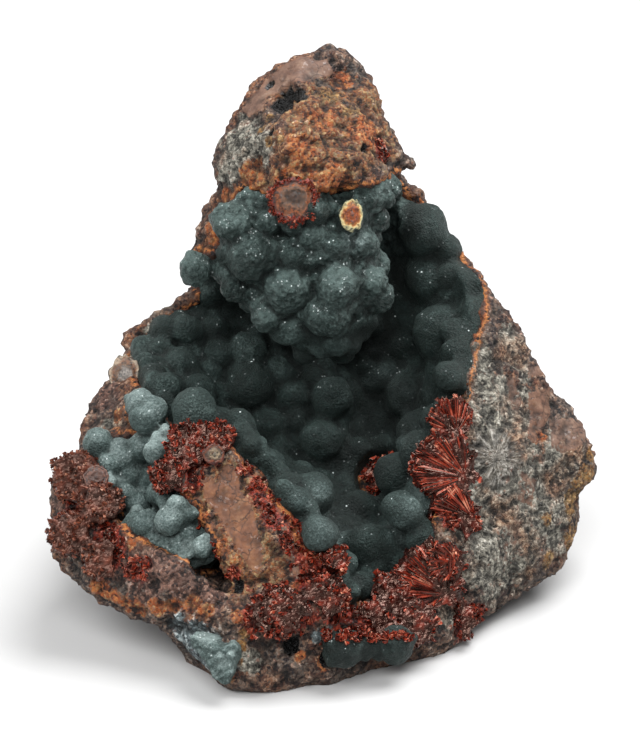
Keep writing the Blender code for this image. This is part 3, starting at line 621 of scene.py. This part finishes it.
def makeCrust(node):
    form = crusts[node]
    rng = random.Random(form["seed"])
    crustTree = treeOf(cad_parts[node].data)
    bm = nodeCopy(node)
    bmesh.ops.triangulate(bm, faces=bm.faces)
    spots = []
    for face in bm.faces:  # the open side, away from the rock
        middle = face.calc_center_median()
        far = rockTree.find_nearest(middle)[3]
        if far > 1.6 * mm:
            spots.append((middle, face.normal.copy(), [v.co.copy() for v in face.verts], face.calc_area()))
    for vert in bm.verts:  # the side toward the rock grows into it, so that no gap shows at the rim
        near, _, _, far = rockTree.find_nearest(vert.co)
        if far < 1.5 * mm:
            vert.co += (near - vert.co).normalized() * (far + 0.4 * mm)
        else:
            vert.co -= vert.normal * 0.15 * mm
    hollow = node == "hollow_crust"
    taken = []
    for right, up, radius in standingBalls[node]:
        hit, _, line = onto(crustTree, right, up)
        if hit is not None:
            low = hollow and hit.x > ballHabit["smoothFrom"] * mm  # a low dome on the right wall
            sunk = ballHabit["lowStanding"] if low else form["out"]
            taken.append((hit + line * sunk * radius * mm, radius * mm))
    for middle, radius in taken:
        addBall(bm, middle, radius, rng)
    total = sum(area for *_, area in spots)
    wanted = int(total / (mm * mm) * ballHabit["perArea"])
    placed = []
    picks = rng.choices(spots, weights=[s[3] for s in spots], k=wanted)
    for middle, normal, corners, _ in picks:
        a, b = rng.random(), rng.random()
        if a + b > 1:
            a, b = 1 - a, 1 - b
        radius = (form["least"] + (form["most"] - form["least"]) * rng.random() ** 1.3) * mm
        sunk = rng.uniform(*ballHabit["sunk"])
        if hollow and middle.x > ballHabit["smoothFrom"] * mm:  # broad, low balls
            radius, sunk = radius * ballHabit["broader"], rng.uniform(*ballHabit["low"])
        point = corners[0] + (corners[1] - corners[0]) * a + (corners[2] - corners[0]) * b
        point = point - normal * radius * sunk
        if hollow and insideBy(pictureOf(np.array([point])), hollowMouth)[0] * mm < radius * 0.55:
            continue
        if hollow and fansTree.find_nearest(point)[3] < radius + 0.6 * mm:
            continue
        if any((point - other).length < (radius + size) * form["apart"] for other, size in placed):
            continue
        if any((point - other).length < size * 0.9 for other, size in taken):
            continue
        placed.append((point, radius))
    for middle, radius in placed:
        addBall(bm, middle, radius, rng)
    crust = pieceFrom(bm, node + "_balls")
    remesh(crust, form["grain"])
    points, normals = pointsOf(crust.data)
    points = points * 0.4 + averaged(crust.data, points, 2) * 0.6
    if hollow:  # it leaves the inner fans bare
        around, back = ballHabit["bare"]
        near = np.array([fansTree.find_nearest(Vector(p), around * mm)[3] or around * mm for p in points])
        points -= normals * ((1 - near / (around * mm)) * back * mm)[:, None]
    high = points[:, 2] / mm - ballHabit["wartyFrom"] + np.minimum(ballHabit["smoothFrom"] - points[:, 0] / mm, 0) * 3
    warty = smoothStep(high / 3) if hollow else np.zeros(len(points))
    dents = np.array([min(noise.voronoi(Vector(p) / (0.95 * mm))[0][0], 0.7) for p in points])
    rise = ballHabit["evenness"] + (ballHabit["warts"] - ballHabit["evenness"]) * warty
    tips = (0.5 - dents) * rise + fractal(points, 2.4, 0.8, 2.0, 3) * 0.24  # round warts, and broader unevenness
    movePoints(crust.data, points + normals * (tips * mm)[:, None])
    # how deep in a crease each point is, for the painted shade there
    mark(crust.data, "pit", hollowness(crust.data, 6, 0.25))
    # upward faces, most on warts and frost: where light is painted on the tops and glints gather
    lit = smoothStep((normals[:, 2] + 0.1) / 0.8) * np.clip(warty + form["frost"] + 0.25, 0, 1)
    mark(crust.data, "paintedTopLight", lit)
    mark(crust.data, "warty", warty)
    # black: painted shade in the depths and under the overhang; frosted: where the frost is thick
    for kind, places in (("black", paintedShadeSpots), ("frosted", frostiest)):
        mask = np.full(len(points), form.get(kind, 0.0))
        for across, down, radius in places if hollow else []:
            far = farFrom(pictureOf(points), pixel(across, down))
            mask = np.maximum(mask, smoothStep(1.5 - far / (radius * photoView["pixel"])))
        mark(crust.data, kind, mask * (1 - warty) if kind == "black" else mask)
    middles = np.array([tuple(m) for m, r in taken + placed])
    sizes = np.array([r for m, r in taken + placed])
    tones = np.array([rng.random() for _ in sizes])
    nearest = np.empty(len(points), dtype=np.int64)
    for start in range(0, len(points), 4000):
        part = points[start:start + 4000]
        gaps = np.linalg.norm(part[:, None, :] - middles[None], axis=2) - sizes[None]
        nearest[start:start + 4000] = gaps.argmin(axis=1)
    mark(crust.data, "tone", tones[nearest])
    if "kept" in form:
        thin(crust, form["kept"])
    return crust


def crustMaterial(name, frost):
    material, tree, shader, coords = newMaterial(name)
    cloud = noiseOf(coords, perMm(2.6), 4.0)
    velvet = noiseOf(coords, perMm(0.3), 6.0, 0.8)
    tips = cellsOf(coords, 0.25)  # crystal tips, drawn coarser than their 0.1 mm
    tone = times(attribute(tree, "tone"), 0.16, times(velvet, 0.9))
    tone = maths("ADD", tone, times(cloud, 0.35, -0.17 + 0.1 * frost))
    paintedTopLight = attribute(tree, "paintedTopLight")
    warty = attribute(tree, "warty")
    knobs = cellsOf(coords, 0.62, feature="SMOOTH_F1")["Distance"]
    knob = times(spread(knobs, 0.0, 0.6, 1.0, 0.0), warty)
    # painted light: upward faces lighter
    tone = times(paintedTopLight, 0.14, tone)
    # painted light: the hanging cluster a little lighter, and the middle of each knob lighter as a painted highlight
    tone = times(warty, 0.02, times(knob, 0.1, tone))
    body = shades(tone, [(0.3, "#030505"), (0.45, "#0a1210"), (0.6, "#1a2624"), (0.8, "#4c5b58")])
    pale = shades(tone, [(0.3, "#0d1514"), (0.45, "#313e3d"), (0.6, "#5d6e6c"), (0.8, "#a6b5b3")])
    body = blend(times(attribute(tree, "frosted"), 0.32, float(frost)), body, pale)
    # painted shade: darker in the creases between the balls
    pit = times(attribute(tree, "pit"), 0.5, 0.5)
    shade = shades(pit, [(0.2, 1.0), (0.5, 0.75), (0.75, 0.2)])
    body = blend(1.0, body, shade, "MULTIPLY")
    # painted shade: the black places darker, as in the depths of the hollow and under the overhang
    paintedDepthShade = shades(attribute(tree, "black"), [(0.0, 1.0), (1.0, 0.22)])
    body = blend(1.0, body, paintedDepthShade, "MULTIPLY")
    # near-white specks of frost on the crystal tips and painted glints, gathered on upward faces
    chance, power = add("SeparateColor", {0: tips["Color"]}).outputs[:2]
    clusters = spread(noiseOf(coords, perMm(1.3), 2.0), 0.5, 0.68)
    chance = times(times(paintedTopLight, clusters), 0.55, chance)
    speckAndGlint = times(spread(chance, 0.985, 1.06), spread(tips["Distance"], 0.55, 0.3))
    speckAndGlint = times(speckAndGlint, times(maths("POWER", power, 2.5), 0.85, 0.15))
    body = blend(speckAndGlint, body, "#d2dcdb")
    rough = times(warty, -0.1, spread(velvet, 0.35, 0.65, 0.4, 0.68))
    height = times(velvet, 0.9, times(tips["Distance"], -0.6))
    height = times(knob, 1.6, height)
    dress(shader, body, rough, height, 0.25 * mm)
    fill(shader, {"IOR": 1.5, "Specular IOR Level": 0.42, "Specular Tint": "#d2e0dc", "Sheen Roughness": 0.3,
                  "Sheen Weight": 0.11 + 0.15 * frost, "Sheen Tint": "#92a8a2"})
    return material


for node, form in crusts.items():
    crust = makeCrust(node)
    finishPiece(crust, node, crustMaterial(node + "Frost", form["frost"]))
    print(node, "made,", len(crust.data.polygons), "faces")

# The red fans: flat, glassy blades that spread from one point, and druses of them. Each face catches the light.
fans = {  # right, up, heading in degrees and length in mm
    "right_fans": [(16.8, -12.4, 155, 6.4), (15.8, -7.6, 110, 4.4), (17.6, -17.0, 180, 5.2)],
    "inner_fans": [],
    "floor_fans": [(14.6, -26.0, 135, 6.8), (15.8, -22.0, 170, 3.6)],
    "pillar_head_fans": [],
    "pillar_foot_fans": [(1.4, -23.2, 20, 2.2)],
    "left_fans": [],
}
openFans = ("right_fans", "floor_fans")  # they show their ribs, and the others are druses
blade = {
    "width": 0.24,  # mm, in an open fan
    "thick": 0.1,
    "perMm": 28,  # blades for each mm of an open fan's length
    "grain": 0.2,  # mm between the points of the mass that the blades stand on
    "sprays": 2.6,  # for each square mm of a druse
    "blades": 7,  # in each spray
    "spray": (0.3, 0.75),  # mm long
    "openShare": 0.35,  # of the sprays, on an open fan
    "worn": 0.8,  # of their length, on the left fans
}


def bladeShape():  # one blade, 1 long and 1 wide, along +X, with a chisel tip
    bm = bmesh.new()
    bmesh.ops.create_cube(bm, size=1.0, matrix=Matrix.Translation((0.5, 0, 0)))
    tip = [v for v in bm.verts if v.co.x > 0.9]
    bmesh.ops.scale(bm, verts=tip, vec=(1, 0.85, 0.4))
    for v in tip:
        if v.co.y > 0:
            v.co.x -= 0.1
    root = [v for v in bm.verts if v.co.x < 0.1]
    bmesh.ops.scale(bm, verts=root, vec=(1, 0.45, 0.7))
    mesh = bpy.data.meshes.new("blade")
    bm.to_mesh(mesh)
    bm.free()
    mark(mesh, "tone", [0.0] * len(mesh.vertices))
    return mesh


def addBlade(bm, start, end, flat, width, thick, tone):
    along = end - start
    side = along.cross(flat)
    if side.length < 1e-9:
        return
    side.normalize()
    x = along.normalized()
    turn = Matrix((along, side * width, x.cross(side) * thick)).transposed().to_4x4()
    copy = bladeMesh.copy()
    copy.transform(Matrix.Translation(start) @ turn)
    copy.attributes["tone"].data.foreach_set("value", [tone] * len(copy.vertices))
    bm.from_mesh(copy)
    bpy.data.meshes.remove(copy)


def addFan(bm, bodyTree, place, rng):  # a fan whose blades lie close together on its body
    right, up, heading, length = place
    hit, normal, line = onto(rockTree, right, up)
    way = math.radians(heading)
    ahead = onto(rockTree, right + math.cos(way) * length, up + math.sin(way) * length)[0]
    face = (normal * 0.4 - line).normalized()
    across = seen(math.cos(way), math.sin(way)) - seen(0, 0)
    if ahead is not None and (ahead - hit).length < 1.6 * length * mm:
        across = ahead - hit
    out = (across - face * across.dot(face)).normalized()
    side = face.cross(out)
    root = hit + face * 0.9 * mm + out * 0.05 * length * mm
    for _ in range(int(length * blade["perMm"])):
        angle = rng.gauss(0, 0.75)
        if abs(angle) > 1.7:
            continue
        reach = length * (0.62 + 0.42 * math.cos(angle)) * rng.uniform(0.6, 1.0) * mm
        heads = out * math.cos(angle) + side * math.sin(angle)
        tip = root + heads * reach
        down = bodyTree.ray_cast(tip + face * 3 * mm, -face, 6 * mm)[0]
        if down is None:
            continue
        lift = rng.uniform(0.0, 0.3) if rng.random() < 0.85 else rng.uniform(0.3, 0.8)
        begin = root + heads * reach * rng.uniform(0.1, 0.55)
        below = bodyTree.ray_cast(begin + face * 3 * mm, -face, 6 * mm)[0]
        start = (below if below is not None else begin) - face * 0.1 * mm
        flat = face + heads * rng.uniform(-0.3, 0.3) + side * rng.gauss(0, 0.5)
        width, thick = blade["width"] * rng.uniform(0.5, 1.2) * mm, blade["thick"] * rng.uniform(0.7, 1.4) * mm
        addBlade(bm, start, down + face * lift * mm + heads * 0.3 * mm, flat, width, thick, rng.random())


def addSpray(bm, start, face, reach, count, rng):  # a few blades that spread one way from a point
    lean = Vector([rng.gauss(0, 1) for _ in range(3)])
    lean = (lean - face * lean.dot(face)).normalized()
    side = face.cross(lean)
    rise = rng.uniform(0.3, 1.1)
    for _ in range(count):
        angle = rng.uniform(-0.9, 0.9)
        heads = (lean * math.cos(angle) + side * math.sin(angle)) * math.cos(rise) + face * math.sin(rise)
        heads = (heads + Vector([rng.gauss(0, 0.1) for _ in range(3)])).normalized()
        flat = face + Vector([rng.gauss(0, 0.5) for _ in range(3)])
        addBlade(bm, start - face * 0.12 * mm, start + heads * reach * rng.uniform(0.7, 1.1), flat,
                 reach * rng.uniform(0.35, 0.75), 0.12 * mm, rng.random())


def makeFans(node, rng):
    body = pieceFrom(nodeCopy(node), node + "_blades")
    remesh(body, blade["grain"])
    points, normals = pointsOf(body.data)
    if node == "left_fans":  # grown over and worn, so its ribs are gone
        points = averaged(body.data, points, 10)
    uneven = fractal(points, 0.8, 0.8, 2.0, 3)
    low = 0.25 if node in openFans else 0.1
    movePoints(body.data, points + normals * ((uneven * 0.2 - low) * mm)[:, None])
    tree = treeOf(body.data)
    mark(body.data, "tone", np.clip(0.25 + uneven * 0.3, 0, 1))
    bm = bmesh.new()
    bm.from_mesh(body.data)
    for place in fans[node]:
        addFan(bm, tree, place, rng)
    points, normals = pointsOf(body.data)
    area = sum(face.area for face in body.data.polygons) / (mm * mm)
    share = blade["openShare"] if node in openFans else 1.0
    for k in rng.sample(range(len(points)), min(len(points), int(area * blade["sprays"] * share))):
        start, face = Vector(points[k]), Vector(normals[k])
        if rockTree.find_nearest(start)[3] > 1.3 * mm:  # not on its hidden back
            reach = rng.uniform(*blade["spray"]) * (blade["worn"] if node == "left_fans" else 1.0) * mm
            addSpray(bm, start, face, reach, blade["blades"], rng)
    bm.to_mesh(body.data)
    bm.free()
    return body


def crystalMaterial(name, stops, rough):
    material, tree, shader, coords = newMaterial(name)
    tone = attribute(tree, "tone")
    patchy = noiseOf(coords, perMm(1.6), 4.0)
    fine = noiseOf(coords, perMm(0.3), 3.0)
    mixed = times(tone, 0.5, times(patchy, 0.9, -0.2))
    rough = spread(fine, 0.35, 0.65, rough, rough + 0.2)
    dress(shader, shades(mixed, stops), rough, fine, 0.06 * mm, 0.6)
    fill(shader, {"IOR": 1.6, "Specular Tint": "#f2c4b2"})  # part of the gloss comes from inside
    return material


bladeMesh = bladeShape()
redCrystal = crystalMaterial("redCrystal", [(0.2, "#0c0403"), (0.4, "#260a07"), (0.56, "#561910"),
                                            (0.72, "#8a3220"), (0.9, "#c48a70")], 0.14)
dullRed = crystalMaterial("dullRedCrystal", [(0.2, "#0f0504"), (0.4, "#2c110b"), (0.56, "#50251a"),
                                             (0.72, "#7c4632"), (0.9, "#b08a74")], 0.25)
rng = random.Random(21)
for node in fans:
    piece = makeFans(node, rng)
    finishPiece(piece, node, dullRed if node == "left_fans" else redCrystal, smooth=False)
    print(node, "made,", len(piece.data.polygons), "faces")

# Balls broken through: each shows its rings, grown one round the other, grainy and dull where they broke
cutBalls = {
    "crown_section": {
        "place": (295, 196), "near": "hollow_crust", "radius": (2.9, 3.1), "rise": 0.5, "out": 0.1, "top": 0.65,
        "rings": [(0.0, "#2f1d16"), (0.35, "#4c382b"), (0.55, "#6b4a36"), (0.66, "#8a4c2a"), (0.74, "#3a2118"),
                  (0.84, "#5a1d13"), (0.94, "#843022"), (1.0, "#2a100c")],
    },
    "crown_ball": {
        "place": (352, 215), "near": "hollow_crust", "radius": (1.45, 1.75), "rise": 0.9, "out": 0.9,
        "rings": [(0.0, "#5c2a15"), (0.3, "#964a1e"), (0.5, "#6e3017"), (0.68, "#a86b38"), (0.8, "#c9b27c"),
                  (0.92, "#a8a47e"), (1.0, "#2a3330")],
    },
    "wall_ring": {
        "place": (126, 376), "near": "matrix", "radius": (1.9, 2.3), "rise": 0.7, "out": 0.4,
        "rings": [(0.0, "#6b6560"), (0.32, "#857e78"), (0.5, "#57402f"), (0.7, "#6d4c39"), (0.88, "#9a8b78"),
                  (1.0, "#3a2a20")],
    },
    "head_ring": {
        "place": (214, 454), "near": "pillar_head_fans", "radius": (1.3, 1.1), "rise": 0.6, "out": 0.3,
        "rings": [(0.0, "#4f4a40"), (0.4, "#85735c"), (0.65, "#4a352a"), (0.8, "#6e3a22"), (1.0, "#4a1a12")],
    },
    "pillar_ring": {
        "place": (180, 478), "near": "matrix", "radius": (1.1, 1.4), "rise": 0.6, "out": 0.4,
        "rings": [(0.0, "#2a1f19"), (0.4, "#54443a"), (0.65, "#3a2a22"), (0.8, "#96402a"), (1.0, "#5a1a12")],
    },
    "left_ring": {
        "place": (97, 477), "near": "left_fans", "radius": (1.5, 1.3), "rise": 0.6, "out": 0.0,
        "rings": [(0.0, "#3a2520"), (0.3, "#553c33"), (0.5, "#4a3028"), (0.66, "#6b4a3e"), (0.78, "#3a211b"),
                  (0.88, "#7a5648"), (1.0, "#43201b")],
    },
}


def makeCutBall(name, form):  # a dome with an uneven face toward the viewer
    hit, normal, line = onto(treeOf(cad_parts[form["near"]].data), *pixel(*form["place"]))
    if hit is None:
        hit, normal, line = onto(rockTree, *pixel(*form["place"]))
    face = (normal * 0.25 - line).normalized()
    right = (seen(1, 0) - seen(0, 0)).normalized()
    right = (right - face * right.dot(face)).normalized()
    turn = Matrix((right, face.cross(right), face)).transposed().to_4x4()
    wide, tall = form["radius"]
    bm = bmesh.new()
    bmesh.ops.create_icosphere(bm, subdivisions=5, radius=1.0)
    far = {}
    for v in bm.verts:
        grainy = noise.fractal(v.co * 5.0, 0.7, 2.0, 3)
        far[v.index] = math.hypot(v.co.x, v.co.y) + 0.05 * grainy
        if v.co.z > 0:
            v.co.z = v.co.z * 0.3 + 0.07 * grainy + 0.05 * math.sin(far[v.index] * 16)
        if v.co.y > 0:  # the upper part may be hidden in the rock
            v.co.y *= form.get("top", 1.0)
        v.co.x *= (1 + 0.28 * noise.noise(v.co * 1.7)) * wide
        v.co.y *= (1 + 0.28 * noise.noise(v.co * 1.7 + Vector((4, 4, 4)))) * tall
        v.co.z *= form["rise"] * min(wide, tall)
    place = Matrix.Translation(hit + face * form["out"] * mm) @ turn @ Matrix.Scale(mm, 4)
    bmesh.ops.transform(bm, matrix=place, verts=bm.verts)
    piece = pieceFrom(bm, name)
    mark(piece.data, "ring", [far[k] for k in range(len(far))])
    return piece


def ringMaterial(name, rings):
    material, tree, shader, coords = newMaterial(name + "Stone")
    tone = add("SeparateColor", {0: cellsOf(coords, 0.25)["Color"]}).outputs[0]
    fine = noiseOf(coords, perMm(0.5), 5.0)
    ring = times(fine, 0.5, maths("ADD", attribute(tree, "ring"), -0.25))
    body = shades(ring, rings)
    shade = shades(tone, [(0.0, 0.25), (0.35, 0.7), (0.8, 1.0)])
    body = blend(1.0, body, shade, "MULTIPLY")
    height = times(tone, 0.5, fine)
    dress(shader, body, spread(tone, 0.0, 1.0, 0.35, 0.85), height, 0.2 * mm)
    return material


for name, form in cutBalls.items():
    piece = makeCutBall(name, form)
    piece.data.materials.append(ringMaterial(name, form["rings"]))
    piece.data.polygons.foreach_set("use_smooth", [True] * len(piece.data.polygons))
    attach(piece, "root")
print("cut balls made")

# Sprays of the same red blades over the rock beside the fans
druse = {
    "blades": 6,  # in each spray
    "rock": (1300, 0.35, 0.8),  # sprays, and their least and most length in mm
    "balls": (120, 0.5, 1.0),
    "ballsOver": -31.2,  # mm up in the picture
    "front": -24,  # mm from the middle, so on the viewer's side
    "section": (160, 0.25, 0.45),
    "rim": 0.82,  # where the rim of the cut ball begins
}


def makeDruse():
    rng = random.Random(33)
    bm = bmesh.new()

    def sow(kind, chosen):  # sprays on some of the points
        count, least, most = druse[kind]
        for k in rng.sample(list(np.flatnonzero(chosen)), min(count, int(chosen.sum()))):
            addSpray(bm, Vector(points[k]), Vector(normals[k]), rng.uniform(least, most) * mm, druse["blades"], rng)

    def marked(mesh, name):
        values = np.empty(len(mesh.vertices), dtype=np.float32)
        mesh.attributes[name].data.foreach_get("value", values)
        return values

    points, normals = pointsOf(rock.data)
    sow("rock", (marked(rock.data, "red") > 0.5) & (points[:, 2] > 0.8 * mm))
    points, normals = pointsOf(bpy.data.objects["underside_crust_balls"].data)  # it hangs over these balls
    sow("balls", (pictureOf(points)[:, 1] > druse["ballsOver"]) & (points[:, 1] < druse["front"] * mm))
    section = bpy.data.objects["crown_section"].data  # and this cut ball's rim glitters with it
    points, normals = pointsOf(section)
    sow("section", (marked(section, "ring") > druse["rim"]) & (normals[:, 1] < -0.2))
    return pieceFrom(bm, "red_druse")


sprays = makeDruse()
sprays.data.materials.append(redCrystal)
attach(sprays, "root")
print("druse made,", len(sprays.data.polygons), "faces")

# Floor, light and camera
studio = {
    "floor": "#b0b0b0",
    "world": 0.42,
    "lamps": [  # place in m, size in m, watts
        ((0.22, 0.14, 0.55), 0.50, 7.0),
        ((-0.06, -0.50, 0.52), 0.45, 5.0),
        ((-0.45, 0.00, 0.40), 0.45, 2.2),
    ],
}
bm = bmesh.new()
bmesh.ops.create_grid(bm, x_segments=1, y_segments=1, size=2.0)
floor = pieceFrom(bm, "floor")
paper, _, shader, _ = newMaterial("whitePaper")  # matt, so that its shadows are soft and no lamp shows in it
fill(shader, {"Base Color": studio["floor"], "Roughness": 0.9})
floor.data.materials.append(paper)
for number, (place, size, watts) in enumerate(studio["lamps"]):
    data = bpy.data.lights.new(f"lamp{number}", "AREA")
    data.shape, data.size, data.energy = "DISK", size, watts
    lamp = newObject(f"lamp{number}", data)
    lamp.location = place
    lamp.rotation_euler = (photoView["middle"] - Vector(place)).to_track_quat("-Z", "Y").to_euler()
world = bpy.data.worlds.new("studio")
bpy.context.scene.world = world
world.use_nodes = True
world.node_tree.nodes["Background"].inputs["Color"].default_value = (1, 1, 1, 1)
world.node_tree.nodes["Background"].inputs["Strength"].default_value = studio["world"]

toward = seen(0, 0, 1) - seen(0, 0, 0)
toward.normalize()
cameraData = bpy.data.cameras.new("camera")
cameraData.lens = photoView["lens"]
cameraData.clip_start = 0.01
camera = newObject("camera", cameraData)
camera.location = photoView["middle"] + toward * photoView["away"] * mm
camera.rotation_euler = (-toward).to_track_quat("-Z", "Y").to_euler()
bpy.context.scene.camera = camera
bpy.context.scene.view_settings.view_transform = "Standard"
